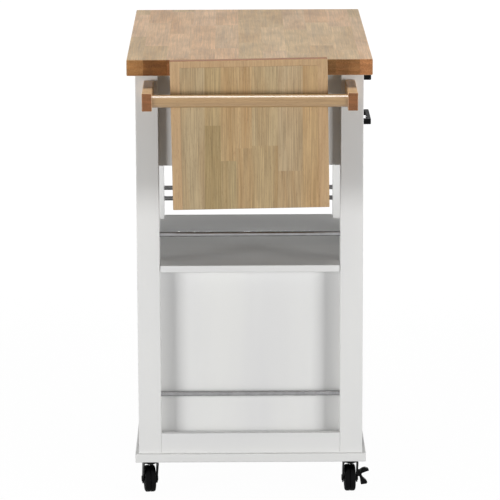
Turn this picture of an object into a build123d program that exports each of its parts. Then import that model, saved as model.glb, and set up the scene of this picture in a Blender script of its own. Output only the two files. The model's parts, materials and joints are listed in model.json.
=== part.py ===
"""Rolling kitchen island cart: a white-painted frame with a hardwood worktop, two drawers over an
open shelf and a lower cubby, a towel bar, a hung chopping board and four swivel casters.

The cart stands on the floor, +Z up. Its drawers open towards +X, its towel bar is at the -Y end.
Everything is placed about the middle of the worktop, and moved at the end so that the origin is
the floor point under the middle of the whole outline.
"""
import os
from math import cos, radians, sin

from build123d import *

# ---------------------------------------------------------------- driving sizes, millimetres

# Worktop
cart_height = 915.0
worktop_width = 480.0
worktop_length = 700.0
worktop_thickness = 32.0
worktop_edge_round = 2.5
end_overhang = 95.0
side_overhang = 13.5

# Posts and base
leg_size = 45.5
leg_edge_round = 1.5
base_thickness = 17.5
base_lip = 7.5
base_edge_round = 2.0
panel_edge_round = 0.8
board_edge_recess = 2.0
post_notch_gap = 0.4

# Drawer case
case_height = 198.5
case_panel_thickness = 18.0
case_panel_recess = 15.0
thin_panel = 12.0
back_panel_recess = 15.0
stretcher_height = 15.0
stretcher_width = 20.0
stretcher_setback = 2.0
stretcher_screw_inset = 40.0

# Middle shelf
shelf_top_height = 482.5
shelf_thickness = 13.5

# Lower cubby ends
end_panel_thickness = 16.0
end_rail_height = 41.5
end_rail_thickness = 16.0
end_rail_recess = 0.5

# Guard rods
rod_radius = 5.0
rod_inset = 16.0
rod_seat_depth = 12.0
guard_rod_rise = 62.0
guard_rod_pitch = 23.0
lower_rod_rise = 121.0

# Towel bar
arm_width = 19.5
arm_height = 35.0
arm_reach = 160.0
arm_inset = 17.5
arm_drop = 41.5
arm_edge_round = 2.0
arm_end_round = 1.6
dowel_radius = 12.5
dowel_setback = 16.5
dowel_seat_depth = 8.0
arm_bolt_radius = 3.0
arm_bolt_pitch = 16.0
arm_bolt_grip = 40.0

# Hung chopping board
board_width = 306.0
board_height = 293.5
board_thickness = 21.0
board_rise = 3.5
board_gap = 10.0
board_edge_round = 1.5
board_hang_tilt = 0.9
side_lipping_width = 19.0
top_lipping_width = 13.0

# Interlocking clips that hang the board
clip_width = 40.0
clip_thickness = 1.5
clip_spread = 105.0
clip_plate_height = 11.0
clip_tongue_height = 12.0
clip_tongue_offset = 4.0
clip_tongue_gap = 0.3
clip_drop = 22.0
clip_screw_radius = 1.75
clip_screw_pitch = 24.0
clip_screw_bite = 12.0
clip_head_radius = 3.0
clip_head_height = 0.9

# Drawers
drawer_names = ["lower", "upper"]
drawer_reveal = 2.5
drawer_front_thickness = 18.0
drawer_side_gap = 2.0
drawer_rear_space = 36.0
drawer_box_height = 66.0
drawer_box_rise = 6.0
drawer_side_thickness = 12.0
drawer_bottom_thickness = 5.0
drawer_groove_depth = 5.0
drawer_groove_rise = 8.0

# Drawer runners
runner_height = 30.0
runner_sheet = 1.4
runner_space = 13.0
runner_gap = 0.4
runner_setback = 3.0
runner_rear_gap = 4.0

# Bar pulls
pull_width = 118.0
pull_height = 11.3
pull_depth = 23.5
pull_bar_depth = 8.5
pull_post_width = 10.0
pull_corner_round = 2.5
pull_bend_round = 3.0
pull_edge_round = 1.2
pull_set_down = 4.0
pull_screw_radius = 1.8
pull_screw_reach = 11.0

# Casters
caster_height = 75.5
wheel_radius = 27.5
wheel_width = 22.0
wheel_edge_round = 4.5
wheel_tread_groove = 1.6
wheel_rim_depth = 4.0
wheel_dish_depth = 3.0
wheel_dish_draft = 1.2
wheel_hub_radius = 12.5
caster_trail = 22.0
axle_radius = 4.0
axle_head_radius = 6.0
axle_head_height = 1.5
fork_sheet = 2.2
fork_wheel_gap = 2.2
fork_crown_front = 15.0
fork_crown_back = 17.0
fork_eye_radius = 10.0
fork_bend_round = 3.0
collar_height = 4.4
collar_radius = 15.0
stem_radius = 5.0
stem_chamfer = 1.5
stem_leg_depth = 25.0
stem_plate_gap = 0.3
kingpin_radius = 4.0
race_radius = 11.5
race_height = 4.0
insert_radius = 7.0
caster_turns = {"towel_front": -2.0, "towel_back": -7.0, "far_front": 8.0, "far_back": -10.0}

# Brake rockers
rocker_width = 12.0
rocker_along = 15.0
rocker_pivot_out = 19.5
rocker_pivot_height = 40.0
rocker_trunnion_radius = 2.0
rocker_waist = 2.3
rocker_edge_round = 0.9
rocker_press_reach = 19.6
rocker_press_rise = 9.8
rocker_release_reach = 16.0
rocker_release_drop = 24.5
rocker_ear_thickness = 2.0
rocker_ear_radius = 4.0
rocker_nub_width = 5.0
rocker_nub_height = 3.8
rocker_nub_drop = 6.0
rocker_window_side_gap = 1.2
rocker_window_height_gap = 1.8

# Fasteners
pan_head_radius = 4.0
pan_head_height = 2.4
worktop_screw_radius = 2.0
worktop_screw_bite = 20.0
bolt_head_radius = 5.0
bolt_head_height = 5.0

# Clearances
running_gap = 0.05
seat_gap = 0.05
slide_gap = 0.3
head_sink_gap = 0.5

# Cutting and joining allowances
overcut = 1.0
join_overlap = 0.8
head_round_share = 0.4

# ---------------------------------------------------------------- worked-out places

worktop_underside = cart_height - worktop_thickness
worktop_end = worktop_length / 2
leg_face_x = worktop_width / 2 - side_overhang
leg_face_y = worktop_length / 2 - end_overhang
leg_x = leg_face_x - leg_size / 2
leg_y = leg_face_y - leg_size / 2
leg_inner_x = leg_face_x - leg_size
leg_inner_y = leg_face_y - leg_size
base_underside = caster_height
base_top = base_underside + base_thickness
shelf_underside = shelf_top_height - shelf_thickness
case_underside = worktop_underside - case_height
case_floor = case_underside + thin_panel
case_panel_outer = leg_face_y - case_panel_recess
case_panel_inner = case_panel_outer - case_panel_thickness
back_outer = leg_face_x - back_panel_recess
back_inner = back_outer - thin_panel
stretcher_underside = worktop_underside - stretcher_height
rod_y = leg_face_y - rod_inset
rod_end_x = leg_inner_x + rod_seat_depth
guard_rod_height = shelf_top_height + guard_rod_rise
lower_rod_height = base_top + lower_rod_rise

arm_spread = leg_face_x - arm_inset - arm_width / 2
arm_middle_height = worktop_underside - arm_drop
arm_tip_y = leg_face_y + arm_reach
dowel_y = arm_tip_y - dowel_setback
dowel_end_x = arm_spread - arm_width / 2 + dowel_seat_depth
arm_bolt_heights = [arm_middle_height + step * arm_bolt_pitch / 2 for step in (-1, 1)]

board_back_y = worktop_end + board_gap
board_front_y = board_back_y + board_thickness
board_top = cart_height + board_rise
board_middle_height = board_top - board_height / 2
clip_height = cart_height - clip_drop

drawer_face_x = leg_face_x
drawer_back_x = drawer_face_x - drawer_front_thickness
drawer_half_width = leg_inner_y - drawer_side_gap
drawer_box_half = leg_inner_y - runner_space
drawer_box_depth = drawer_back_x + back_inner - drawer_rear_space
stretcher_middles = {
    "front": drawer_back_x - stretcher_setback - stretcher_width / 2,
    "back": -back_inner + stretcher_width / 2,
}
stretcher_screw_spread = [side * (leg_inner_y - stretcher_screw_inset) for side in (-1, 0, 1)]
drawer_count = len(drawer_names)
front_space = worktop_underside - case_floor - (drawer_count + 1) * drawer_reveal
drawer_front_height = front_space / drawer_count
pull_screw_pitch = pull_width - pull_post_width

fork_inner = wheel_width / 2 + fork_wheel_gap
fork_outer = fork_inner + fork_sheet
crown_top = caster_height - collar_height - slide_gap
crown_underside = crown_top - fork_sheet

outline_x = (leg_face_x + pull_depth - worktop_width / 2) / 2
outline_y = (worktop_end - arm_tip_y) / 2

ends = {"towel": -1, "far": 1}
sides = {"front": 1, "back": -1}


# ---------------------------------------------------------------- shared forms

def block(x, y, z):
    """A box that fills three (low, high) spans."""
    spans = [sorted(span) for span in (x, y, z)]
    middle = [(low + high) / 2 for low, high in spans]
    return Pos(*middle) * Box(*[high - low for low, high in spans])


def eased(solid, radius, axis):
    """The solid with its edges along one axis rounded."""
    return fillet(solid.edges().filter_by(axis), radius)


def softened(solid, radius):
    """The solid with every edge rounded."""
    return fillet(solid.edges(), radius)


def x_bar(radius, x, y, z):
    """A round bar along X over an (low, high) span."""
    return Pos((x[0] + x[1]) / 2, y, z) * Rot(0, 90, 0) * Cylinder(radius, abs(x[1] - x[0]))


def y_bar(radius, x, y, z):
    """A round bar along Y over an (low, high) span."""
    return Pos(x, (y[0] + y[1]) / 2, z) * Rot(90, 0, 0) * Cylinder(radius, abs(y[1] - y[0]))


def z_bar(radius, x, y, z):
    """A round bar along Z over an (low, high) span."""
    return Pos(x, y, (z[0] + z[1]) / 2) * Cylinder(radius, abs(z[1] - z[0]))


def group(shapes):
    """Separate solids kept together as one node."""
    return Compound([solid for shape in shapes for solid in shape.solids()])


# ---------------------------------------------------------------- worktop, posts and base

def stretcher_screw_places():
    """Where the screws go up through the stretchers into the worktop."""
    return [(x, y) for x in stretcher_middles.values() for y in stretcher_screw_spread]


def make_worktop():
    """Solid hardwood slab with eased edges and pilot holes for what is screwed to it."""
    half_width = worktop_width / 2
    slab = block((-half_width, half_width), (-worktop_end, worktop_end), (worktop_underside, cart_height))
    slab = softened(slab, worktop_edge_round)
    for x, y in stretcher_screw_places():
        bore = (worktop_underside - overcut, worktop_underside + worktop_screw_bite + overcut)
        slab -= z_bar(worktop_screw_radius + seat_gap, x, y, bore)
    for x, z in clip_screw_places():
        bore = (-worktop_end - overcut, -worktop_end + clip_screw_bite + overcut)
        slab -= y_bar(clip_screw_radius + seat_gap, x, bore, z)
    return slab


def make_leg(side, end):
    """Square post, bored for its rods, its caster insert and, at the bar's end, the arm's bolts."""
    post = block(
        (leg_x - leg_size / 2, leg_x + leg_size / 2),
        (leg_y - leg_size / 2, leg_y + leg_size / 2),
        (base_top, worktop_underside),
    )
    post = eased(post, leg_edge_round, Axis.Z)
    for height in rod_heights(end):
        bore = (leg_inner_x - overcut, rod_end_x + seat_gap)
        post -= x_bar(rod_radius + seat_gap, bore, rod_y, height)
    bore = (base_top - overcut, base_top + stem_leg_depth + overcut)
    post -= z_bar(insert_radius + seat_gap, leg_x, leg_y, bore)
    if end == "towel":
        for height in arm_bolt_heights:
            bore = (leg_inner_y - overcut, leg_face_y + overcut)
            sink = (leg_inner_y - overcut, leg_inner_y + bolt_head_height)
            post -= y_bar(arm_bolt_radius + seat_gap, arm_spread, bore, height)
            post -= y_bar(bolt_head_radius + head_sink_gap, arm_spread, sink, height)
    return placed_corner(post, side, end)


def placed_corner(shape, side, end):
    """A shape made for the +X +Y corner, mirrored to one of the four corners."""
    if sides[side] < 0:
        shape = mirror(shape, about=Plane.YZ)
    if ends[end] < 0:
        shape = mirror(shape, about=Plane.XZ)
    return shape


def make_base():
    """Bottom board that lies under the posts and stands a little proud of them."""
    reach_x = leg_face_x + base_lip
    reach_y = leg_face_y + base_lip
    board = block((-reach_x, reach_x), (-reach_y, reach_y), (base_underside, base_top))
    board = softened(board, base_edge_round)
    for x in (-leg_x, leg_x):
        for y in (-leg_y, leg_y):
            bore = (base_underside - overcut, base_top + overcut)
            board -= z_bar(stem_radius + stem_plate_gap, x, y, bore)
    return board


def notched_board(x, y, z):
    """A board that fills three spans, notched round the four posts."""
    board = block(x, y, z)
    for side in (-1, 1):
        for end in (-1, 1):
            board -= block(
                (side * (leg_inner_x - post_notch_gap), side * (leg_face_x + overcut)),
                (end * (leg_inner_y - post_notch_gap), end * (leg_face_y + overcut)),
                (z[0] - overcut, z[1] + overcut),
            )
    return board


def make_shelf():
    """Middle shelf, notched round the posts."""
    reach_x = leg_face_x - board_edge_recess
    reach_y = leg_face_y - board_edge_recess
    board = notched_board((-reach_x, reach_x), (-reach_y, reach_y), (shelf_underside, shelf_top_height))
    return chamfer(board.edges().group_by(Axis.Z)[-1], panel_edge_round)


# ---------------------------------------------------------------- drawer case

def make_case_panel(end):
    """End panel of the drawer case, let in between the posts."""
    y = (ends[end] * case_panel_inner, ends[end] * case_panel_outer)
    return block((-leg_inner_x, leg_inner_x), y, (case_underside, worktop_underside))


def make_case_back():
    """Back panel of the drawer case, between the back posts."""
    return block((-back_outer, -back_inner), (-leg_inner_y, leg_inner_y), (case_underside, worktop_underside))


def make_case_bottom():
    """Dust board under the drawers, notched round the posts."""
    x = (-back_inner, leg_face_x - board_edge_recess)
    return notched_board(x, (-case_panel_inner, case_panel_inner), (case_underside, case_floor))


def make_stretcher(side):
    """Cross rail between two posts that the worktop is screwed down to."""
    x = stretcher_middles[side]
    span = (x - stretcher_width / 2, x + stretcher_width / 2)
    rail = block(span, (-leg_inner_y, leg_inner_y), (stretcher_underside, worktop_underside))
    bore = (stretcher_underside - overcut, worktop_underside + overcut)
    for y in stretcher_screw_spread:
        rail -= z_bar(worktop_screw_radius + seat_gap, x, y, bore)
    return rail


# ---------------------------------------------------------------- lower cubby

def make_end_panel(end):
    """Panel that closes one end of the cubby, flush with the posts' inner faces."""
    y = (ends[end] * leg_inner_y, ends[end] * (leg_inner_y + end_panel_thickness))
    return block((-leg_inner_x, leg_inner_x), y, (base_top, shelf_underside))


def make_lower_back():
    """Panel that closes the back of the cubby."""
    return block((-back_outer, -back_inner), (-leg_inner_y, leg_inner_y), (base_top, shelf_underside))


def make_end_rail(end):
    """Low rail across one end, with a slot left between it and the panel."""
    outer = leg_face_y - end_rail_recess
    y = (ends[end] * (outer - end_rail_thickness), ends[end] * outer)
    rail = block((-leg_inner_x, leg_inner_x), y, (base_top, base_top + end_rail_height))
    return fillet(rail.edges().filter_by(Axis.X).group_by(Axis.Z)[-1], panel_edge_round)


# ---------------------------------------------------------------- rods

def rod_heights(end):
    """The heights of the rods at one end of the cart, from the lowest."""
    if end == "far":
        return [lower_rod_height, guard_rod_height - guard_rod_pitch, guard_rod_height]
    return [lower_rod_height, guard_rod_height]


def make_rods(end):
    """Chromed rods let into the posts at one end."""
    span = (-rod_end_x, rod_end_x)
    return group(x_bar(rod_radius, span, ends[end] * rod_y, height) for height in rod_heights(end))


# ---------------------------------------------------------------- towel bar

def make_arm(side):
    """Arm that stands out from a post and carries one end of the bar."""
    x = sides[side] * arm_spread
    z = (arm_middle_height - arm_height / 2, arm_middle_height + arm_height / 2)
    arm = block((x - arm_width / 2, x + arm_width / 2), (-arm_tip_y, -leg_face_y), z)
    arm = eased(arm, arm_edge_round, Axis.Y)
    arm = fillet(arm.edges().group_by(Axis.Y)[0], arm_end_round)
    inner = arm_spread - arm_width / 2 - overcut
    seat = (sides[side] * inner, sides[side] * (dowel_end_x + seat_gap))
    arm -= x_bar(dowel_radius + seat_gap, seat, -dowel_y, arm_middle_height)
    for height in arm_bolt_heights:
        bore = (-leg_face_y - arm_bolt_grip - overcut, -leg_face_y + overcut)
        arm -= y_bar(arm_bolt_radius + seat_gap, x, bore, height)
    return arm


def make_dowel():
    """Round hardwood bar between the two arms."""
    return x_bar(dowel_radius, (-dowel_end_x, dowel_end_x), -dowel_y, arm_middle_height)


def make_arm_bolts():
    """Bolts that go through the posts into the arms, their heads sunk in the posts."""
    bolts = []
    seat = -leg_inner_y - bolt_head_height
    tip = -leg_face_y - arm_bolt_grip
    for side in sides.values():
        for height in arm_bolt_heights:
            shank = y_bar(arm_bolt_radius, side * arm_spread, (tip, seat), height)
            head = y_bar(bolt_head_radius, side * arm_spread, (seat, -leg_inner_y - slide_gap), height)
            bolts.append(shank + head)
    return bolts


# ---------------------------------------------------------------- hung board and its clips

def hung(shape):
    """A board piece made upright, at the slight tilt that the board hangs at."""
    middle = Pos(0, 0, board_middle_height)
    return middle * Rot(0, -board_hang_tilt, 0) * middle.inverse() * shape


def board_blank():
    """The whole board with eased edges, before it is divided into panel and lippings."""
    half = board_width / 2
    blank = block((-half, half), (-board_front_y, -board_back_y), (board_top - board_height, board_top))
    return softened(blank, board_edge_round)


def board_regions():
    """The boxes that the panel and its three lippings take out of the blank."""
    half = board_width / 2 + overcut
    panel_half = board_width / 2 - side_lipping_width
    y = (-board_front_y - overcut, -board_back_y + overcut)
    low = board_top - board_height - overcut
    split = board_top - top_lipping_width
    panel = block((-panel_half, panel_half), y, (low, split))
    lippings = [
        block((-half, -panel_half), y, (low, split)),
        block((panel_half, half), y, (low, split)),
        block((-half, half), y, (split, board_top + overcut)),
    ]
    return panel, lippings


def make_board_panel():
    """Edge-glued panel of the chopping board, with pilot holes for its clips."""
    panel, _ = board_regions()
    panel = board_blank() & panel
    for x, z in clip_screw_places(clip_lift()):
        bore = (-board_back_y + overcut, -board_back_y - clip_screw_bite - overcut)
        panel -= y_bar(clip_screw_radius + seat_gap, x, bore, z)
    return hung(panel)


def make_board_lipping():
    """Three hardwood strips round the panel: both sides and the top."""
    blank = board_blank()
    _, lippings = board_regions()
    return group(hung(blank & region) for region in lippings)


def clip_lift():
    """How far the board's clips are set up so that the lower one just seats on its partner."""
    sag = sin(radians(board_hang_tilt)) * (clip_spread + clip_width / 2)
    return sag + slide_gap


def clip_screw_places(lift=0):
    """Screw places of a pair of clips, two to a clip, that are set up by a lift."""
    z = clip_height + lift - clip_plate_height / 2
    steps = (-clip_screw_pitch / 2, clip_screw_pitch / 2)
    return [(side * clip_spread + step, z) for side in (-1, 1) for step in steps]


def clip_profile(points):
    """A clip made by extruding a bent-strip outline, given as (out from the end, height)."""
    outline = Polygon(*[(-worktop_end - out, clip_height + height) for out, height in points], align=None)
    return extrude(Plane.YZ * outline, clip_width / 2, both=True)


def clip_with_screws(clip, screw_places, head_side, y):
    """A clip and its two screws; head_side is the way the heads face along Y."""
    screws = []
    through = clip_thickness + overcut
    for x, z in screw_places:
        clip -= y_bar(clip_screw_radius + seat_gap, x, (y - through, y + through), z)
        head = y_bar(clip_head_radius, x, (y, y + head_side * clip_head_height), z)
        shank = y_bar(clip_screw_radius, x, (y, y - head_side * (clip_thickness + clip_screw_bite)), z)
        screws.append(head + shank)
    return [clip, *screws]


def make_worktop_clips():
    """Clips on the worktop's end whose tongues point up."""
    t = clip_thickness
    tongue_out = clip_tongue_offset + t
    outline = [
        (0, -clip_plate_height),
        (t, -clip_plate_height),
        (t, 0),
        (tongue_out, 0),
        (tongue_out, clip_tongue_height),
        (clip_tongue_offset, clip_tongue_height),
        (clip_tongue_offset, t),
        (0, t),
    ]
    solids = []
    for side in (-1, 1):
        places = [place for place in clip_screw_places() if place[0] * side > 0]
        clip = Pos(side * clip_spread, 0, 0) * clip_profile(outline)
        solids += clip_with_screws(clip, places, -1, -worktop_end - t)
    return group(solids)


def make_board_clips():
    """Clips on the board's back whose tongues hook down behind the fixed ones."""
    t = clip_thickness
    tongue_in = clip_tongue_offset - clip_tongue_gap
    crest = clip_tongue_height + t
    outline = [
        (board_gap, -clip_plate_height),
        (board_gap, crest),
        (tongue_in - t, crest),
        (tongue_in - t, 2 * t),
        (tongue_in, 2 * t),
        (tongue_in, clip_tongue_height),
        (board_gap - t, clip_tongue_height),
        (board_gap - t, -clip_plate_height),
    ]
    solids = []
    for side in (-1, 1):
        places = [place for place in clip_screw_places(clip_lift()) if place[0] * side > 0]
        clip = Pos(side * clip_spread, 0, clip_lift()) * clip_profile(outline)
        solids += clip_with_screws(clip, places, 1, -board_back_y + t)
    return group(hung(solid) for solid in solids)


# ---------------------------------------------------------------- drawers

def front_bottom(level):
    """Height of the lower edge of a drawer's front, counted up from the lowest drawer."""
    return case_floor + drawer_reveal + level * (drawer_front_height + drawer_reveal)


def box_bottom(level):
    """Height of the lower edge of a drawer's box."""
    return front_bottom(level) + drawer_box_rise


def runner_height_at(level):
    """Height of the middle of a drawer's runners."""
    return box_bottom(level) + drawer_box_height / 2


def pull_base(level):
    """Height of the lower edge of a drawer's pull, which sits a little under mid-height of the front."""
    return front_bottom(level) + (drawer_front_height - pull_height) / 2 - pull_set_down


def pull_screw_height(level):
    """Height of the screws that hold a pull."""
    return pull_base(level) + pull_height / 2


def bottom_panel_spans(level):
    """The spans that a drawer's bottom board fills, tongues in the grooves included."""
    inner = drawer_box_half - drawer_side_thickness + drawer_groove_depth
    back = drawer_back_x - drawer_box_depth + drawer_side_thickness - drawer_groove_depth
    low = box_bottom(level) + drawer_groove_rise
    return (back, drawer_back_x + drawer_groove_depth), (-inner, inner), (low, low + drawer_bottom_thickness)


def make_drawer_front(level):
    """Painted drawer front, grooved for the bottom board and drilled for the pull."""
    low = front_bottom(level)
    x = (drawer_back_x, drawer_face_x)
    front = block(x, (-drawer_half_width, drawer_half_width), (low, low + drawer_front_height))
    front = fillet(front.edges().group_by(Axis.X)[-1], leg_edge_round)
    front -= block(*bottom_panel_spans(level))
    for side in (-1, 1):
        place = side * pull_screw_pitch / 2
        bore = (drawer_back_x - overcut, drawer_face_x + overcut)
        front -= x_bar(pull_screw_radius + seat_gap, bore, place, pull_screw_height(level))
    return front


def make_drawer_box(level):
    """The two sides and the back of a drawer, the back housed between the sides."""
    low = box_bottom(level)
    z = (low, low + drawer_box_height)
    back_x = drawer_back_x - drawer_box_depth
    inner = drawer_box_half - drawer_side_thickness
    spans = [
        ((back_x, drawer_back_x), (inner, drawer_box_half)),
        ((back_x, drawer_back_x), (-drawer_box_half, -inner)),
        ((back_x, back_x + drawer_side_thickness), (-inner, inner)),
    ]
    groove = block(*bottom_panel_spans(level))
    return group(block(x, y, z) - groove for x, y in spans)


def make_drawer_bottom(level):
    """Bottom board let into grooves all round."""
    return block(*bottom_panel_spans(level))


def channel(wall_y, depth, height, level, x):
    """Sheet-metal channel along X with its web at wall_y and its flanges reaching inwards."""
    middle = runner_height_at(level)
    inward = wall_y - depth
    t = runner_sheet if depth > 0 else -runner_sheet
    outline = Polygon(
        (wall_y, middle - height / 2),
        (inward, middle - height / 2),
        (inward, middle - height / 2 + runner_sheet),
        (wall_y - t, middle - height / 2 + runner_sheet),
        (wall_y - t, middle + height / 2 - runner_sheet),
        (inward, middle + height / 2 - runner_sheet),
        (inward, middle + height / 2),
        (wall_y, middle + height / 2),
        align=None,
    )
    return Pos(x[0], 0, 0) * extrude(Plane.YZ * outline, x[1] - x[0], dir=(1, 0, 0))


def runner_span():
    """The X span of a runner, from near the case's back to just behind the drawer's front."""
    return runner_rear_gap - back_inner, drawer_back_x - runner_setback


def make_runner_channels():
    """Fixed channels of the drawer runners, fastened across the posts."""
    depth = runner_space - 2 * runner_gap - runner_sheet
    rails = []
    for level in range(drawer_count):
        rail = channel(leg_inner_y, depth, runner_height, level, runner_span())
        rails += [rail, mirror(rail, about=Plane.XZ)]
    return group(rails)


def make_drawer_rails(level):
    """Moving rails on the two sides of one drawer, nested in the fixed channels."""
    depth = runner_space - runner_sheet - 2 * runner_gap
    height = runner_height - 2 * (runner_sheet + runner_gap)
    x = (drawer_back_x - drawer_box_depth, runner_span()[1])
    rail = channel(drawer_box_half, -depth, height, level, x)
    return group([rail, mirror(rail, about=Plane.XZ)])


def make_pull(level):
    """Bar pull: a square bar on two posts, with rounded corners and bends and two blind screw holes."""
    outer = Pos(pull_depth / 2, 0) * Rectangle(pull_depth, pull_width)
    outer = fillet(outer.vertices().group_by(Axis.X)[-1], pull_corner_round)
    reach = pull_depth - pull_bar_depth
    grip = Pos((reach - overcut) / 2, 0) * Rectangle(reach + overcut, pull_width - 2 * pull_post_width)
    grip = fillet(grip.vertices().group_by(Axis.X)[-1], pull_bend_round)
    pull = extrude(outer - grip, pull_height)
    rims = pull.edges().group_by(Axis.Z)
    pull = fillet(rims[0] + rims[-1], pull_edge_round)
    for side in (-1, 1):
        place = side * pull_screw_pitch / 2
        depth = (-overcut, pull_screw_reach + overcut)
        pull -= x_bar(pull_screw_radius + seat_gap, depth, place, pull_height / 2)
    return Pos(drawer_face_x, 0, pull_base(level)) * pull


def make_pull_screws(level):
    """Two screws from inside the drawer into the pull's posts."""
    screws = []
    for side in (-1, 1):
        place = side * pull_screw_pitch / 2
        height = pull_screw_height(level)
        tip = drawer_face_x + pull_screw_reach
        shank = x_bar(pull_screw_radius, (drawer_back_x, tip), place, height)
        head = x_bar(pan_head_radius, (drawer_back_x - pan_head_height, drawer_back_x), place, height)
        head = fillet(head.edges().group_by(Axis.X)[0], pan_head_height * head_round_share)
        screws.append(head + shank)
    return group(screws)


# ---------------------------------------------------------------- fasteners of the frame

def make_worktop_screws():
    """Screws up through the stretchers into the worktop."""
    screws = []
    for x, y in stretcher_screw_places():
        shank_top = worktop_underside + worktop_screw_bite
        shank = z_bar(worktop_screw_radius, x, y, (stretcher_underside, shank_top))
        head = z_bar(pan_head_radius, x, y, (stretcher_underside - pan_head_height, stretcher_underside))
        head = fillet(head.edges().group_by(Axis.Z)[0], pan_head_height * head_round_share)
        screws.append(head + shank)
    return screws


def make_leg_inserts():
    """Threaded sleeves in the feet of the posts that take the caster stems."""
    sleeves = []
    for x in (-leg_x, leg_x):
        for y in (-leg_y, leg_y):
            z = (base_top, base_top + stem_leg_depth)
            sleeve = z_bar(insert_radius, x, y, z) - z_bar(stem_radius + seat_gap, x, y, z)
            sleeves.append(sleeve)
    return group(sleeves)


# ---------------------------------------------------------------- casters, about their swivel axis

def caster_at(shape, side, end, turned=True):
    """A caster piece made about the swivel axis, moved under its post and turned to rest."""
    angle = caster_turns[f"{end}_{side}"] if turned else 0
    return Pos(sides[side] * leg_x, ends[end] * leg_y, 0) * Rot(0, 0, -angle) * shape


def make_stem():
    """Stem, collar and king pin in one turned piece, with the lower race riveted on under the crown."""
    collar_low = caster_height - collar_height
    pin_low = crown_underside - slide_gap
    stem_top = caster_height + base_thickness + stem_leg_depth
    outline = Polyline(
        (0, pin_low - race_height),
        (race_radius * 0.6, pin_low - race_height),
        (race_radius, pin_low - race_height * 0.4),
        (race_radius, pin_low),
        (kingpin_radius, pin_low),
        (kingpin_radius, collar_low),
        (collar_radius, collar_low),
        (collar_radius, caster_height - collar_height * 0.3),
        (collar_radius * 0.9, caster_height),
        (stem_radius, caster_height),
        (stem_radius, stem_top - stem_chamfer),
        (stem_radius - stem_chamfer, stem_top),
        (0, stem_top),
        (0, pin_low - race_height),
    )
    return revolve(Plane.XZ * make_face(outline), Axis.Z)


def fork_side_outline():
    """Side outline of the fork: a level crown that narrows down to the round axle eyes."""
    eye = (caster_trail, wheel_radius)
    flanks = Polygon(
        (-fork_crown_front, crown_top),
        (fork_crown_back, crown_top),
        (eye[0] + fork_eye_radius, eye[1]),
        (eye[0] - fork_eye_radius, eye[1]),
        align=None,
    )
    return flanks + Pos(*eye) * Circle(fork_eye_radius)


def make_fork(braked):
    """Pressed-steel fork, bored for king pin and axle; a braked one has ears and a window."""
    outline = Plane.YZ * fork_side_outline()
    fork = extrude(outline, fork_outer, both=True)
    bends = fork.edges().filter_by(Axis.Y).group_by(Axis.Z)[-1]
    fork = fillet(bends, fork_bend_round)
    reach = fork_crown_back + caster_trail + fork_eye_radius
    fork -= block((-fork_inner, fork_inner), (-reach, reach), (0, crown_underside))
    fork -= z_bar(kingpin_radius + running_gap, 0, 0, (crown_underside - overcut, crown_top + overcut))
    across = (-fork_outer - overcut, fork_outer + overcut)
    fork -= x_bar(axle_radius + seat_gap, across, caster_trail, wheel_radius)
    if braked:
        fork += brake_ears()
        fork -= brake_ear_bores()
        fork -= brake_window()
    return fork


def brake_ears():
    """Two ears on the fork's outer cheek that hold the rocker's trunnions."""
    ears = None
    for side in (-1, 1):
        inner = rocker_along + side * (rocker_width / 2 + slide_gap)
        y = (inner, inner + side * rocker_ear_thickness)
        eye = y_bar(rocker_ear_radius, rocker_pivot_out, y, rocker_pivot_height)
        half = rocker_ear_radius
        web = block(
            (fork_outer - join_overlap, rocker_pivot_out),
            y,
            (rocker_pivot_height - half, rocker_pivot_height + half),
        )
        ear = eye + web
        ears = ear if ears is None else ears + ear
    return ears


def brake_ear_bores():
    """The holes through both ears."""
    half = rocker_width / 2 + slide_gap + rocker_ear_thickness + overcut
    y = (rocker_along - half, rocker_along + half)
    return y_bar(rocker_trunnion_radius + running_gap, rocker_pivot_out, y, rocker_pivot_height)


def brake_window():
    """The window in the fork's cheek that the rocker's nub works through."""
    middle = rocker_pivot_height - rocker_nub_drop
    half_height = rocker_nub_height / 2 + rocker_window_height_gap
    half_width = rocker_nub_width / 2 + rocker_window_side_gap
    return block(
        (fork_inner - overcut, fork_outer + overcut),
        (rocker_along - half_width, rocker_along + half_width),
        (middle - half_height, middle + half_height),
    )


def make_axle():
    """Axle rivet with a flat head at each end."""
    span = (-fork_outer - axle_head_height, fork_outer + axle_head_height)
    axle = x_bar(axle_radius, span, caster_trail, wheel_radius)
    for side in (-1, 1):
        head = (side * fork_outer, side * (fork_outer + axle_head_height))
        axle += x_bar(axle_head_radius, head, caster_trail, wheel_radius)
    return axle


def make_wheel():
    """Moulded wheel: round-shouldered tread with a centre groove, dished sides and a hub."""
    half = wheel_width / 2
    shoulder = wheel_radius - wheel_edge_round
    arc_mid = wheel_edge_round * (1 - cos(radians(45)))
    groove = wheel_tread_groove
    bore = axle_radius + running_gap
    rim_inner = shoulder - wheel_rim_depth
    dish = half - wheel_dish_depth

    def flank(s):
        """Outline points on one side, from the tread's groove in to the bore."""
        return [
            Line((s * groove / 2, wheel_radius), (s * (half - wheel_edge_round), wheel_radius)),
            ThreePointArc(
                (s * (half - wheel_edge_round), wheel_radius),
                (s * (half - arc_mid), wheel_radius - arc_mid),
                (s * half, shoulder),
            ),
            Polyline(
                (s * half, shoulder),
                (s * half, rim_inner),
                (s * dish, rim_inner - wheel_dish_draft),
                (s * dish, wheel_hub_radius + wheel_dish_draft),
                (s * half, wheel_hub_radius),
                (s * half, bore),
            ),
        ]

    joins = [
        Polyline(
            (groove / 2, wheel_radius),
            (groove / 2, wheel_radius - groove),
            (-groove / 2, wheel_radius - groove),
            (-groove / 2, wheel_radius),
        ),
        Line((half, bore), (-half, bore)),
    ]
    edges = [edge for line in flank(1) + flank(-1) + joins for edge in line.edges()]
    wheel = revolve(make_face(edges), Axis.X)
    return Pos(0, caster_trail, wheel_radius) * wheel


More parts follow.
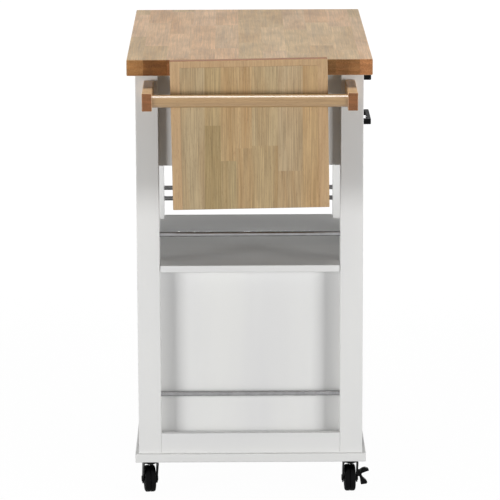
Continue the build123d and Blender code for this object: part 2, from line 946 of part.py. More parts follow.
def rocker_outline():
    """Side outline of the rocker: a pressing tab above, a releasing tab below, a hub between.

    Each tab is drawn in shares of its reach away from the pivot and of its rise or drop.
    """
    press = [(0.32, 0.9), (0.58, 1.0), (0.86, 0.82), (1.0, 0.48), (0.62, 0.22), (0.23, -0.08)]
    release = [(0.22, 0.22), (0.48, 0.46), (0.87, 0.7), (1.0, 0.84), (0.87, 0.95), (0.17, 1.0), (0.08, 0.57)]
    points = [(-rocker_waist, rocker_press_rise / 3)]
    points += [(across * rocker_press_reach, rise * rocker_press_rise) for across, rise in press]
    points += [(across * rocker_release_reach, -drop * rocker_release_drop) for across, drop in release]
    points.append((0, -rocker_release_drop * 0.37))
    points.append((-rocker_waist, -rocker_release_drop / 10))
    places = [(rocker_pivot_out + across, rocker_pivot_height + rise) for across, rise in points]
    return Polygon(*places, align=None)


def make_rocker():
    """Foot rocker on moulded trunnions, with the nub that grips the wheel's side."""
    plate = extrude(Plane.XZ * rocker_outline(), rocker_width / 2, both=True)
    rocker = fillet(plate.edges().filter_by(Axis.Y), rocker_edge_round)
    rocker = Pos(0, rocker_along, 0) * rocker
    half = rocker_width / 2 + slide_gap + rocker_ear_thickness
    trunnions = (rocker_along - half, rocker_along + half)
    rocker += y_bar(rocker_trunnion_radius, rocker_pivot_out, trunnions, rocker_pivot_height)
    middle = rocker_pivot_height - rocker_nub_drop
    rocker += block(
        (fork_inner - slide_gap, rocker_pivot_out + join_overlap),
        (rocker_along - rocker_nub_width / 2, rocker_along + rocker_nub_width / 2),
        (middle - rocker_nub_height / 2, middle + rocker_nub_height / 2),
    )
    return rocker


# ---------------------------------------------------------------- the whole cart

def frame_nodes():
    """The fixed woodwork, rods, bar and fasteners."""
    nodes = {
        "worktop": make_worktop(),
        "base_plate": make_base(),
        "mid_shelf": make_shelf(),
        "case_back": make_case_back(),
        "case_bottom": make_case_bottom(),
        "lower_back": make_lower_back(),
        "towel_dowel": make_dowel(),
        "worktop_clips": make_worktop_clips(),
        "runner_channels": make_runner_channels(),
        "leg_inserts": make_leg_inserts(),
        "frame_screws": group(make_worktop_screws() + make_arm_bolts()),
    }
    for end in ends:
        nodes[f"case_panel_{end}"] = make_case_panel(end)
        nodes[f"end_panel_{end}"] = make_end_panel(end)
        nodes[f"end_rail_{end}"] = make_end_rail(end)
        nodes[f"rods_{end}_end"] = make_rods(end)
        for side in sides:
            nodes[f"leg_{end}_{side}"] = make_leg(side, end)
    for side in sides:
        nodes[f"stretcher_{side}"] = make_stretcher(side)
        nodes[f"towel_arm_{side}"] = make_arm(side)
    return nodes


def board_nodes():
    """The chopping board that lifts off its clips."""
    return {
        "board_panel": make_board_panel(),
        "board_lipping": make_board_lipping(),
        "board_clips": make_board_clips(),
    }


def drawer_nodes():
    """Every piece that moves with a drawer."""
    nodes = {}
    for level in range(drawer_count):
        name = f"drawer_{drawer_names[level]}"
        nodes[f"{name}_front"] = make_drawer_front(level)
        nodes[f"{name}_box"] = make_drawer_box(level)
        nodes[f"{name}_bottom"] = make_drawer_bottom(level)
        nodes[f"{name}_rails"] = make_drawer_rails(level)
        nodes[f"{name}_pull"] = make_pull(level)
        nodes[f"{name}_pull_screws"] = make_pull_screws(level)
    return nodes


def caster_nodes():
    """Four stem casters; the two on the drawer side have brakes."""
    nodes = {}
    for end in ends:
        for side in sides:
            corner = f"{end}_{side}"
            braked = side == "front"
            nodes[f"caster_stem_{corner}"] = caster_at(make_stem(), side, end, turned=False)
            nodes[f"caster_fork_{corner}"] = caster_at(make_fork(braked), side, end)
            nodes[f"caster_axle_{corner}"] = caster_at(make_axle(), side, end)
            nodes[f"caster_wheel_{corner}"] = caster_at(make_wheel(), side, end)
            if braked:
                nodes[f"brake_rocker_{corner}"] = caster_at(make_rocker(), side, end)
    return nodes


def build():
    """All nodes, moved so that the origin is under the middle of the outline."""
    nodes = frame_nodes() | board_nodes() | drawer_nodes() | caster_nodes()
    to_origin = Pos(-outline_x, -outline_y, 0)
    return {name: to_origin * shape for name, shape in nodes.items()}


if __name__ == "__main__":
    os.makedirs("parts", exist_ok=True)
    for name, shape in build().items():
        export_step(shape, f"parts/{name}.step")
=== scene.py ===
"""A rolling kitchen island: its finishes, its small trim and the plain studio that it stands in.

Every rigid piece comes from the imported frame. Each sub-assembly below is a class that takes its
places from the frame, makes the trim that the frame leaves to it, and dresses every node that it
owns. Lengths are metres.
"""

import functools
import json
import logging
import math
from abc import ABC, abstractmethod
from dataclasses import dataclass, field
from enum import Enum
from typing import Any, Sequence

import bmesh
import bpy
import numpy as np
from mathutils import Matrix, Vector


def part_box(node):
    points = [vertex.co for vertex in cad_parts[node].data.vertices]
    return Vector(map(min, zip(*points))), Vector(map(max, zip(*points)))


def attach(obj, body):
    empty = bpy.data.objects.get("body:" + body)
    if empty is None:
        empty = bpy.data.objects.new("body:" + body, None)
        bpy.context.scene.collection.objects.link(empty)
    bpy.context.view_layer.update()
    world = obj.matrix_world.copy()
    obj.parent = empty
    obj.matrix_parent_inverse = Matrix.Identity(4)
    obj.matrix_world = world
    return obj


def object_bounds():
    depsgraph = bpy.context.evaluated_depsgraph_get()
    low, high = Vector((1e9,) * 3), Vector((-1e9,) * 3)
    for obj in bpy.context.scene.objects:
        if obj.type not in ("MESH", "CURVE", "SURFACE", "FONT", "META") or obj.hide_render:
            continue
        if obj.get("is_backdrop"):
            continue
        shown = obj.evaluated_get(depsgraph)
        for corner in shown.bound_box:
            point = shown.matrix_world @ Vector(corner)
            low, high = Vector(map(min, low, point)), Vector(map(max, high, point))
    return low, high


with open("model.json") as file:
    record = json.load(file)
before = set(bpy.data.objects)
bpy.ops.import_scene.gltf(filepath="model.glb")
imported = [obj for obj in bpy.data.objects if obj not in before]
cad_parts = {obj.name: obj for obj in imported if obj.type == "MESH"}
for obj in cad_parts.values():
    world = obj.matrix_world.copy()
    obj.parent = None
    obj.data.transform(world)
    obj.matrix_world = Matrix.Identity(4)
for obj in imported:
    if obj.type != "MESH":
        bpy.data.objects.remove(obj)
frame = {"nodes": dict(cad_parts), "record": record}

Colour = tuple[float, float, float, float]
Range = tuple[float, float]
Socket = bpy.types.NodeSocket
Number = Socket | float

LOG = logging.getLogger("kitchen_island")
MM = 0.001
MERGE_DISTANCE = 1e-7
WHITE: Colour = (1.0, 1.0, 1.0, 1.0)
BEVEL_SAMPLES = 6

# How alike a face's own normal and its rounded one are on a flat face, and at a worn edge.
EDGE_COSINES: Range = (0.995, 0.75)

# What a finish reads of a soft noise: nearly all of it, or its middle.
NOISE_MOST: Range = (0.2, 0.8)
NOISE_MIDDLE: Range = (0.3, 0.7)

# These keep one random draw of a timber apart from another.
JOINT_DRAW = 1.0
PITH_DRAW = 2.0


def shade(red: float, green: float, blue: float) -> Colour:
    """Turns a display colour of 0 to 255 a channel into the linear colour that a shader takes.

    Args:
        red, green, blue: The channels as a screen shows them.

    Returns:
        The linear colour by the standard display curve, with full opacity.
    """
    channels = np.array((red, green, blue)) / 255.0
    linear = np.where(channels <= 0.04045, channels / 12.92, ((channels + 0.055) / 1.055) ** 2.4)
    return (*map(float, linear), 1.0)


class Axis(Enum):
    """The way that the grain, a brush mark or a lathe's centre line runs."""

    X = 0
    Y = 1
    Z = 2

    @property
    def unit(self) -> np.ndarray:
        """The unit vector along this axis."""
        return np.eye(3)[self.value]


class End(Enum):
    """The cart's two ends, as its nodes name them."""

    TOWEL = "towel"
    FAR = "far"


class Side(Enum):
    """The cart's two long sides, as its nodes name them: the drawers open at the front."""

    FRONT = "front"
    BACK = "back"


class Level(Enum):
    """The two drawers, as their nodes name them."""

    LOWER = "lower"
    UPPER = "upper"


UP = Axis.Z.unit


# ---------------------------------------------------------------- node trees


class Tree:
    """A material's node tree, with a short call for each kind of node that the finishes use."""

    def __init__(self, name: str) -> None:
        """Starts a material with only a Principled shader and its output.

        Args:
            name: The material's name.
        """
        self.material = bpy.data.materials.new(name)
        self.material.use_nodes = True
        self.nodes = self.material.node_tree.nodes
        self.links = self.material.node_tree.links
        self.shader = self.nodes["Principled BSDF"]

    def feed(self, socket: Socket, value: Any) -> None:
        """Links a socket into another, or sets its own number or colour.

        Args:
            socket: The input.
            value: Another node's output, or the number or colour.
        """
        if isinstance(value, bpy.types.NodeSocket):
            self.links.new(value, socket)
        else:
            socket.default_value = value

    def add(
        self, kind: str, inputs: dict[Any, Any] | None = None, **settings: Any
    ) -> bpy.types.Node:
        """Adds a node.

        Args:
            kind: The node's type, without its ShaderNode prefix.
            inputs: What each input takes, by the input's name or number.
            settings: The node's own properties.

        Returns:
            The node.
        """
        node = self.nodes.new("ShaderNode" + kind)
        for name, value in settings.items():
            setattr(node, name, value)
        for name, value in (inputs or {}).items():
            self.feed(node.inputs[name], value)
        return node

    def set(self, **values: Any) -> None:
        """Feeds the Principled shader: underscores stand for the spaces in its inputs' names."""
        for name, value in values.items():
            self.feed(self.shader.inputs[name.replace("_", " ")], value)

    def maths(self, operation: str, *values: Number) -> Socket:
        """Works out one number from others with a Math node."""
        return self.add("Math", dict(enumerate(values)), operation=operation).outputs[0]

    def vector(self, operation: str, *values: Any) -> Socket:
        """Works out one vector from others with a Vector Math node."""
        return self.add("VectorMath", dict(enumerate(values)), operation=operation).outputs[0]

    def place(self) -> Socket:
        """Gives the point on the piece, in metres."""
        return self.add("TexCoord").outputs["Object"]

    def drawn_out(self, axis: Axis, share: float) -> Socket:
        """Gives the point with its place along an axis scaled, which stretches a noise that way."""
        return self.vector("MULTIPLY", self.place(), tuple(np.where(axis.unit > 0, share, 1.0)))

    def apart(self, vector: Socket) -> tuple[Socket, Socket, Socket]:
        """Splits a vector into its three numbers."""
        outputs = self.add("SeparateXYZ", {0: vector}).outputs
        return outputs[0], outputs[1], outputs[2]

    def joined(self, *values: Number) -> Socket:
        """Makes a vector of three numbers."""
        return self.add("CombineXYZ", dict(enumerate(values))).outputs[0]

    def scaled(self, colour: Any, share: Socket) -> Socket:
        """Multiplies all three channels of a colour by one number."""
        return self.vector("MULTIPLY", colour, self.joined(share, share, share))

    def noise(self, vector: Socket, scale: float, detail: float, rough: float = 0.5) -> Socket:
        """Gives a soft noise of 0 to 1 about 0.5."""
        inputs = {"Vector": vector, "Scale": scale, "Detail": detail, "Roughness": rough}
        return self.add("TexNoise", inputs).outputs["Fac"]

    def random(self, *values: Number) -> Socket:
        """Gives one colour of three independent random numbers for each different input."""
        return self.add("TexWhiteNoise", {"Vector": self.joined(*values)}).outputs["Color"]

    def spread(self, value: Socket, span: Range, to: Range = (0.0, 1.0)) -> Socket:
        """Carries one range onto another, and stops at its ends."""
        numbers = {"From Min": span[0], "From Max": span[1], "To Min": to[0], "To Max": to[1]}
        return self.add("MapRange", {"Value": value, **numbers}).outputs["Result"]

    def swing(self, value: Socket, span: Range, middle: float, less: float, more: float) -> Socket:
        """Carries a range onto the one from less under a middle to more over it."""
        return self.spread(value, span, (middle - less, middle + more))

    def mix(self, factor: Socket, first: Any, second: Any, blend: str = "MIX") -> Socket:
        """Blends two colours."""
        inputs = {0: factor, 6: first, 7: second}
        return self.add("Mix", inputs, data_type="RGBA", blend_type=blend).outputs[2]

    def steps(self, value: Socket, stops: Sequence[tuple[float, Colour]]) -> Socket:
        """Turns a number into a colour that jumps at each stop.

        Args:
            value: The number, 0 to 1.
            stops: Each stop's place and the colour from there on, in order.

        Returns:
            The colour.
        """
        node = self.add("ValToRGB", {0: value})
        node.color_ramp.interpolation = "CONSTANT"
        elements = node.color_ramp.elements
        while len(elements) < len(stops):
            elements.new(1.0)
        for element, (at, colour) in zip(elements, stops):
            element.position = at
            element.color = colour
        return node.outputs["Color"]

    def even_steps(self, value: Socket, colours: Sequence[Colour]) -> Socket:
        """Steps through a list of colours, each for an equal share of 0 to 1."""
        stops = [(number / len(colours), colour) for number, colour in enumerate(colours)]
        return self.steps(value, stops)

    def rounded(self, radius: float) -> Socket:
        """Gives a normal that rounds the piece's sharp edges over that radius."""
        return self.add("Bevel", {"Radius": radius}, samples=BEVEL_SAMPLES).outputs["Normal"]

    def edge(self, normal: Socket) -> Socket:
        """Finds the edges, where a rounded normal turns away from the face's own.

        Args:
            normal: The rounded normal.

        Returns:
            0 on a flat face, rising to 1 at an edge.
        """
        own = self.add("NewGeometry").outputs["Normal"]
        alike = self.add("VectorMath", {0: own, 1: normal}, operation="DOT_PRODUCT")
        return self.spread(alike.outputs["Value"], EDGE_COSINES)

    def bump(self, height: Socket, depth: float, normal: Socket) -> Socket:
        """Turns a height of 0 to 1, which is that deep in full, into a normal laid on another."""
        inputs = {"Height": height, "Distance": depth, "Normal": normal}
        return self.add("Bump", inputs).outputs["Normal"]


# ---------------------------------------------------------------- finishes


class Finish(ABC):
    """What a surface is made of. A finish is frozen, so the same one is only ever made once."""

    name: str

    @abstractmethod
    def lay(self, tree: Tree) -> None:
        """Builds the finish in an empty node tree."""


@functools.cache
def material_of(finish: Finish) -> bpy.types.Material:
    """Makes a finish's material, or gives the one that was made before.

    Args:
        finish: The finish.

    Returns:
        Its material, named after it.
    """
    tree = Tree(finish.name)
    finish.lay(tree)
    return tree.material


@dataclass(frozen=True)
class Lacquer(Finish):
    """Sprayed satin paint over board: faint orange peel, soft bands and edges that catch dirt."""

    name: str = "white_lacquer"
    colour: Colour = shade(226, 226, 224)
    band_colour: Colour = shade(219, 219, 219)
    worn_colour: Colour = shade(203, 200, 193)
    grain: Axis = Axis.Z
    roughness: float = 0.42
    smoother: float = 0.05
    rougher: float = 0.06
    specular: float = 0.18
    band_scale: float = 9.0
    band_stretch: float = 0.12
    dirt_scale: float = 60.0
    dirt_span: Range = (0.42, 0.66)
    peel_scale: float = 520.0
    peel_depth: float = 0.00004
    edge_radius: float = 0.0012

    def lay(self, tree: Tree) -> None:
        """Lays bands, a noise drawn out along the grain, over the peel, and dirt along the edges.

        Args:
            tree: The empty node tree.
        """
        bands = tree.noise(tree.drawn_out(self.grain, self.band_stretch), self.band_scale, detail=3)
        peel = tree.noise(tree.place(), self.peel_scale, detail=1)
        dirt = tree.spread(tree.noise(tree.place(), self.dirt_scale, detail=4), self.dirt_span)
        rounded = tree.rounded(self.edge_radius)
        worn = tree.maths("MULTIPLY", tree.edge(rounded), dirt)
        paint = tree.mix(tree.spread(bands, NOISE_MIDDLE), self.colour, self.band_colour)
        rough = tree.swing(bands, NOISE_MOST, self.roughness, self.smoother, self.rougher)
        tree.set(Base_Color=tree.mix(worn, paint, self.worn_colour), Roughness=rough)
        tree.set(Normal=tree.bump(peel, self.peel_depth, rounded), Specular_IOR_Level=self.specular)


@dataclass(frozen=True)
class Stave:
    """One strip of an edge-glued panel: its width, its butt joint's place and its two tones."""

    width: float
    joint: float
    above: Colour
    below: Colour


@dataclass(frozen=True)
class WoodPlace:
    """A point in the wood: its place along the grain, across it and through the thickness."""

    along: Socket
    across: Socket
    deep: Socket

    def drawn_out(self, tree: Tree, scales: Range, jump: Number) -> Socket:
        """Scales the place along the grain, from a block's own start, and both ways across it.

        Args:
            tree: The node tree.
            scales: How much the place is scaled along the grain, and across it.
            jump: The start of the block.

        Returns:
            The scaled place, for a noise that runs along the grain.
        """
        along = tree.maths("MULTIPLY_ADD", self.along, scales[0], jump)
        cross = (tree.maths("MULTIPLY", value, scales[1]) for value in (self.across, self.deep))
        return tree.joined(along, *cross)


@dataclass(frozen=True)
class Timber(Finish):
    """Oiled hardwood as a solid: growth rings, fibres, pores, and end grain that drinks oil.

    The rings are read from the distance to the nearest of a row of pith lines, which lie along the
    grain and outside the piece, so a face along the grain shows straight or arched lines and an end
    shows arcs.
    """

    name: str
    grain: Axis
    tones: tuple[Colour, ...] = ()
    seed: float = 0.37
    block_jump: float = 40.0
    stave_start: float = 0.0
    stave_width: float = 0.0
    block_length: float = 0.32
    finger_depth: float = 0.005
    finger_pitch: float = 0.004
    staves: tuple[Stave, ...] = ()

    wander_scales: Range = (2.2, 9.0)
    wander_reach: float = 0.030
    pith_side: float = 0.06
    pith_depth: Range = (0.03, 0.16)
    pith_half_pitch: float = 0.11
    pith_offset: float = 10.0
    ring_density: float = 230.0
    ring_roughness: float = 0.62
    ring_span: Range = (0.44, 0.70)
    ring_strength: float = 0.42
    late_tint: Colour = (0.74, 0.62, 0.50, 1.0)
    fibre_scales: Range = (11.0, 430.0)
    fibre_roughness: float = 0.6
    fibre_span: Range = (0.25, 0.75)
    fibre_strength: float = 0.16
    pore_scales: Range = (95.0, 1250.0)
    pore_span: Range = (0.62, 0.74)
    pore_strength: float = 0.45
    pore_tint: Colour = (0.50, 0.36, 0.26, 1.0)
    cloud_scales: Range = (11.0, 24.0)
    cloudiness: float = 0.0

    end_span: Range = (0.55, 0.85)
    end_tint: Colour = (0.56, 0.34, 0.19, 1.0)
    end_tints_and_shade: tuple[Colour, ...] = ()
    streak_scales: Range = (26.0, 150.0)
    end_streak: float = 0.22

    roughness: float = 0.46
    smoother: float = 0.07
    rougher: float = 0.08
    specular: float = 0.2
    coat: float = 0.0
    coat_roughness: float = 0.18
    coat_ior: float = 1.5
    fibre_relief: float = 0.4
    relief_depth: float = 0.00012
    edge_radius: float = 0.0015
    edge_wear: float = 0.35

    def lay(self, tree: Tree) -> None:
        """Tones each block, draws its figure, and darkens what faces along the grain.

        Args:
            tree: The empty node tree.
        """
        numbers = tree.apart(tree.place())
        across = 1 if self.grain is Axis.X else 0
        deep = 1 if self.grain is Axis.Z else 2
        at = WoodPlace(numbers[self.grain.value], numbers[across], numbers[deep])
        seed, tone = self.blocks(tree, at)
        jump = tree.maths("MULTIPLY", seed, self.block_jump)
        ring, fibre, pore = self.figure(tree, at, seed, jump)
        late = tree.maths("MULTIPLY", ring, self.ring_strength)
        wood = tree.mix(late, tone, self.late_tint, "MULTIPLY")
        light = tree.swing(fibre, self.fibre_span, 1.0, self.fibre_strength, self.fibre_strength)
        wood = tree.scaled(wood, light)
        if self.cloudiness:
            scaled = self.scaled_pair(tree, at.along, at.across, self.cloud_scales, jump)
            wood = tree.scaled(wood, self.shading(tree, scaled, self.cloudiness))
        porous = tree.maths("MULTIPLY", pore, self.pore_strength)
        wood = tree.mix(porous, wood, self.pore_tint, "MULTIPLY")
        facing = tree.apart(tree.add("TexCoord").outputs["Normal"])[self.grain.value]
        end = tree.spread(tree.maths("ABSOLUTE", facing), self.end_span)
        wood = tree.mix(end, wood, self.end_tone(tree, at, jump), "MULTIPLY")
        rounded = tree.rounded(self.edge_radius)
        worn = tree.maths("MULTIPLY", tree.edge(rounded), self.edge_wear)
        rough = tree.swing(fibre, NOISE_MOST, self.roughness, self.smoother, self.rougher)
        height = tree.maths("SUBTRACT", tree.maths("MULTIPLY", fibre, self.fibre_relief), pore)
        tree.set(Base_Color=tree.mix(worn, wood, self.pore_tint, "MULTIPLY"), Roughness=rough)
        tree.set(Normal=tree.bump(height, self.relief_depth, rounded))
        tree.set(Specular_IOR_Level=self.specular, Coat_Weight=self.coat)
        tree.set(Coat_Roughness=self.coat_roughness, Coat_IOR=self.coat_ior)

    @staticmethod
    def scaled_pair(
        tree: Tree, first: Socket, second: Socket, scales: Range, jump: Number
    ) -> Socket:
        """Scales two of a point's numbers, and takes a block's own start as the third."""
        pair = (tree.maths("MULTIPLY", *both) for both in zip((first, second), scales))
        return tree.joined(*pair, jump)

    @staticmethod
    def shading(tree: Tree, place: Socket, strength: float) -> Socket:
        """Gives a factor about 1 from a noise: less in its dark, more in its light."""
        return tree.swing(tree.noise(place, 1.0, detail=3), NOISE_MIDDLE, 1.0, strength, strength)

    def end_tone(self, tree: Tree, at: WoodPlace, jump: Number) -> Socket:
        """Tints the end grain with long flat streaks of the cut rings.

        Args:
            tree: The node tree.
            at: The place in the wood.
            jump: The start of the block.

        Returns:
            The tint, stave by stave where tints are listed; the worktop's list holds painted shadow
            too.
        """
        scaled = self.scaled_pair(tree, at.across, at.deep, self.streak_scales, jump)
        tint: Any = self.end_tint[:3]
        if self.end_tints_and_shade:
            width = len(self.end_tints_and_shade) * self.stave_width
            share = tree.spread(at.across, (self.stave_start, self.stave_start + width))
            tint = tree.even_steps(share, self.end_tints_and_shade)
        return tree.scaled(tint, self.shading(tree, scaled, self.end_streak))

    def blocks(self, tree: Tree, at: WoodPlace) -> tuple[Number, Any]:
        """Gives each block its random number and its tone.

        A panel of equal staves counts them across and its blocks along, with each stave's joints
        moved by a random share of a block and their line zigzagged through the thickness as a
        finger joint's is. A piece of one block has one number and one tone.

        Args:
            tree: The node tree.
            at: The place in the wood.

        Returns:
            The block's seed, 0 to 1, and its tone.
        """
        if self.staves:
            return self.listed(tree, at)
        if not self.stave_width:
            return self.seed, self.tones[0]
        from_low = tree.maths("SUBTRACT", at.across, self.stave_start)
        stave = tree.maths("FLOOR", tree.maths("DIVIDE", from_low, self.stave_width))
        moved = tree.apart(tree.random(stave, self.seed, JOINT_DRAW))[0]
        zigzag = tree.maths("PINGPONG", at.deep, self.finger_pitch)
        slope = self.finger_depth / self.finger_pitch
        fingered = tree.maths("MULTIPLY_ADD", zigzag, slope, at.along)
        count = tree.maths("ADD", tree.maths("DIVIDE", fingered, self.block_length), moved)
        chance = tree.apart(tree.random(stave, tree.maths("FLOOR", count), self.seed))
        return chance[0], tree.even_steps(chance[1], self.tones)

    def listed(self, tree: Tree, at: WoodPlace) -> tuple[Socket, Socket]:
        """Gives the seed and tone of a panel whose staves are listed from its low side.

        Args:
            tree: The node tree.
            at: The place in the wood.

        Returns:
            The seed, and the tone, which changes at each stave's joint.
        """
        widths = [stave.width for stave in self.staves]
        starts = np.cumsum([0.0] + widths[:-1]) / sum(widths)
        share = tree.spread(at.across, (self.stave_start, self.stave_start + sum(widths)))
        count = len(self.staves)
        marks = [(stave.joint, i / count, 0.0, 1.0) for i, stave in enumerate(self.staves)]
        above, below, marked = (
            tree.steps(share, list(zip(starts, values)))
            for values in ([s.above for s in self.staves], [s.below for s in self.staves], marks)
        )
        joint, number, _ = tree.apart(marked)
        higher = tree.maths("GREATER_THAN", at.along, joint)
        seed = tree.apart(tree.random(number, higher, self.seed))[0]
        return seed, tree.mix(higher, below, above)

    def figure(self, tree: Tree, at: WoodPlace, seed: Number, jump: Number) -> tuple[Socket, ...]:
        """Draws the wood's figure.

        The ring is a noise of the distance to the nearest pith, which is the root of the sum of the
        squares of the place beside it and above it, and wanders a little. The fibre is a noise drawn
        out along the grain, and the pore a finer one of which only the peaks are kept.

        Args:
            tree: The node tree.
            at: The place in the wood.
            seed: The block's random number.
            jump: The start of the block.

        Returns:
            The ring, the fibre and the pore, each 0 to 1.
        """
        chance = tree.apart(tree.random(seed, self.seed, PITH_DRAW))
        slow_along = tree.maths("MULTIPLY_ADD", at.along, self.wander_scales[0], jump)
        slow_across = tree.maths("MULTIPLY", at.across, self.wander_scales[1])
        wander = tree.noise(tree.joined(slow_along, slow_across, at.deep), 1.0, detail=2)
        side = tree.spread(chance[0], (0.0, 1.0), (-self.pith_side, self.pith_side))
        side = tree.maths("ADD", tree.maths("ADD", at.across, side), self.pith_offset)
        side = tree.maths("PINGPONG", side, self.pith_half_pitch)
        depth = tree.maths("ADD", at.deep, tree.spread(chance[1], (0.0, 1.0), self.pith_depth))
        squares = (tree.maths("POWER", value, 2.0) for value in (side, depth))
        reach = tree.maths("SQRT", tree.maths("ADD", *squares))
        radius = tree.maths("ADD", reach, tree.maths("MULTIPLY", wander, self.wander_reach))
        ring_at = tree.joined(tree.maths("MULTIPLY_ADD", radius, self.ring_density, jump), 0.0, 0.0)
        ring = tree.spread(tree.noise(ring_at, 1.0, 3, self.ring_roughness), self.ring_span)
        fibre_at = at.drawn_out(tree, self.fibre_scales, jump)
        pore_at = at.drawn_out(tree, self.pore_scales, jump)
        fibre = tree.noise(fibre_at, 1.0, 3, self.fibre_roughness)
        pore = tree.spread(tree.noise(pore_at, 1.0, detail=1), self.pore_span)
        return ring, fibre, pore


@dataclass(frozen=True)
class Metal(Finish):
    """Plated or polished metal: a bright base with faint draw marks along the piece."""

    name: str
    colour: Colour
    roughness: float
    drawn: Axis = Axis.X
    dull_share: float = 0.82
    blotch_scale: float = 70.0
    blotch_span: Range = (0.35, 0.7)
    mark_scale: float = 900.0
    mark_stretch: float = 0.02
    mark_depth: float = 0.00001
    mark_roughness: Range = (0.7, 1.35)
    edge_radius: float = 0.0004

    def lay(self, tree: Tree) -> None:
        """Lays draw marks, a noise drawn out along the piece, in the gloss, and blotches of dull.

        Args:
            tree: The empty node tree.
        """
        marks = tree.noise(tree.drawn_out(self.drawn, self.mark_stretch), self.mark_scale, detail=2)
        blotches = tree.noise(tree.place(), self.blotch_scale, detail=3)
        dull = tuple(self.dull_share * channel for channel in self.colour[:3]) + (1.0,)
        colour = tree.mix(tree.spread(blotches, self.blotch_span), self.colour, dull)
        low, high = (self.roughness * share for share in self.mark_roughness)
        tree.set(Base_Color=colour, Metallic=1.0)
        tree.set(Roughness=tree.spread(marks, NOISE_MOST, (low, high)))
        tree.set(Normal=tree.bump(marks, self.mark_depth, tree.rounded(self.edge_radius)))


@dataclass(frozen=True)
class Moulded(Finish):
    """Black paint, rubber or plastic: a fine texture, a little dust and edges rubbed pale."""

    name: str
    colour: Colour
    roughness: float
    smoother: float = 0.05
    rougher: float = 0.10
    specular: float = 0.2
    worn_colour: Colour = shade(74, 73, 72)
    dust_scale: float = 45.0
    dust_span: Range = (0.45, 0.75)
    dust: float = 0.10
    texture_scale: float = 1400.0
    texture_depth: float = 0.00003
    wear_span: Range = (0.4, 0.7)
    wear: float = 0.5
    edge_radius: float = 0.0006

    def lay(self, tree: Tree) -> None:
        """Lays a fine noise as texture and a slow one as dust, and rubs only the edges.

        Args:
            tree: The empty node tree.
        """
        texture = tree.noise(tree.place(), self.texture_scale, detail=1)
        slow = tree.noise(tree.place(), self.dust_scale, detail=4)
        rounded = tree.rounded(self.edge_radius)
        wear = tree.spread(slow, self.wear_span, (0.0, self.wear))
        rubbed = tree.maths("MULTIPLY", tree.edge(rounded), wear)
        dust = tree.spread(slow, self.dust_span, (0.0, self.dust))
        dusty = tree.mix(dust, self.colour, self.worn_colour)
        rough = tree.swing(slow, NOISE_MIDDLE, self.roughness, self.smoother, self.rougher)
        tree.set(Base_Color=tree.mix(rubbed, dusty, self.worn_colour), Roughness=rough)
        tree.set(Normal=tree.bump(texture, self.texture_depth, rounded))
        tree.set(Specular_IOR_Level=self.specular)


PALE_TONES = (
    shade(190, 164, 128),
    shade(195, 164, 130),
    shade(200, 169, 136),
    shade(185, 160, 123),
    shade(194, 161, 126),
    shade(188, 161, 129),
    shade(181, 154, 117),
)
# Stave end tints, with the staves beside the hung board darkened: painted shadow of the board.
END_TINTS_WITH_PAINTED_SHADOW = (
    (0.71, 0.50, 0.325, 1.0),
    (0.45, 0.265, 0.142, 1.0),
    (0.62, 0.40, 0.25, 1.0),
    (0.52, 0.32, 0.19, 1.0),
    (0.66, 0.44, 0.28, 1.0),
    (0.49, 0.31, 0.18, 1.0),
    (0.60, 0.38, 0.23, 1.0),
    (0.54, 0.35, 0.20, 1.0),
    (0.47, 0.34, 0.23, 1.0),
    (0.55, 0.36, 0.23, 1.0),
    (0.645, 0.425, 0.277, 1.0),
)
WHITE_UPRIGHT = Lacquer()
WHITE_LEVEL = Lacquer(name="white_lacquer_level", grain=Axis.X, roughness=0.55, specular=0.1)
BLOCK_TOP = Timber(
    name="worktop_staves", grain=Axis.Y, tones=PALE_TONES, stave_start=-0.2605, stave_width=0.047,
    ring_density=150.0, ring_strength=0.75, fibre_strength=0.30, cloudiness=0.15,
    end_tints_and_shade=END_TINTS_WITH_PAINTED_SHADOW, edge_radius=0.0022,
)
# Arm tone lightened: painted light for the arm tops in the worktop's shade.
ARM_WOOD_PAINTED_LIGHT = Timber(
    name="arm_hardwood_painted_light", grain=Axis.Y, tones=(shade(214, 176, 130),), seed=0.61, coat=0.35,
    # End tint darkened by as much, so the end grain keeps its own darker tone.
    end_tint=(0.345, 0.215, 0.15, 1.0), edge_radius=0.003,
)
BAR_WOOD = Timber(
    name="bar_hardwood", grain=Axis.X, tones=(shade(169, 136, 92),), seed=0.23,
    ring_strength=0.3, roughness=0.30, coat=1.0, coat_ior=1.65,
)
LIPPING_WOOD = Timber(
    name="lipping_hardwood", grain=Axis.Z, tones=(shade(190, 160, 123),), seed=0.83
)
DRAWER_WOOD = Timber(
    name="drawer_ply", grain=Axis.X, tones=(shade(206, 182, 146),), seed=0.11, coat=0.05
)
STEEL_ROD = Metal(name="brushed_steel_rod", colour=(0.34, 0.34, 0.345, 1.0), roughness=0.24)
ZINC = Metal(name="zinc_plate", colour=(0.42, 0.43, 0.45, 1.0), roughness=0.38)
BRASS = Metal(name="turned_brass", colour=(0.66, 0.48, 0.20, 1.0), roughness=0.30)
BLACK_METAL = Moulded(
    name="black_satin_metal", colour=shade(11, 11, 12), roughness=0.46, specular=0.08, dust=0.02
)
DARK_STEEL = Moulded(
    name="phosphated_steel", colour=shade(34, 34, 35), roughness=0.5, specular=0.12
)
BLACK_RUBBER = Moulded(
    name="black_rubber", colour=shade(13, 13, 14), roughness=0.7, specular=0.05, dust=0.04,
    wear=0.1,
)
BLACK_PLASTIC = Moulded(
    name="black_plastic", colour=shade(11, 11, 12), roughness=0.5, specular=0.07, dust=0.03
)


# ---------------------------------------------------------------- surfaces


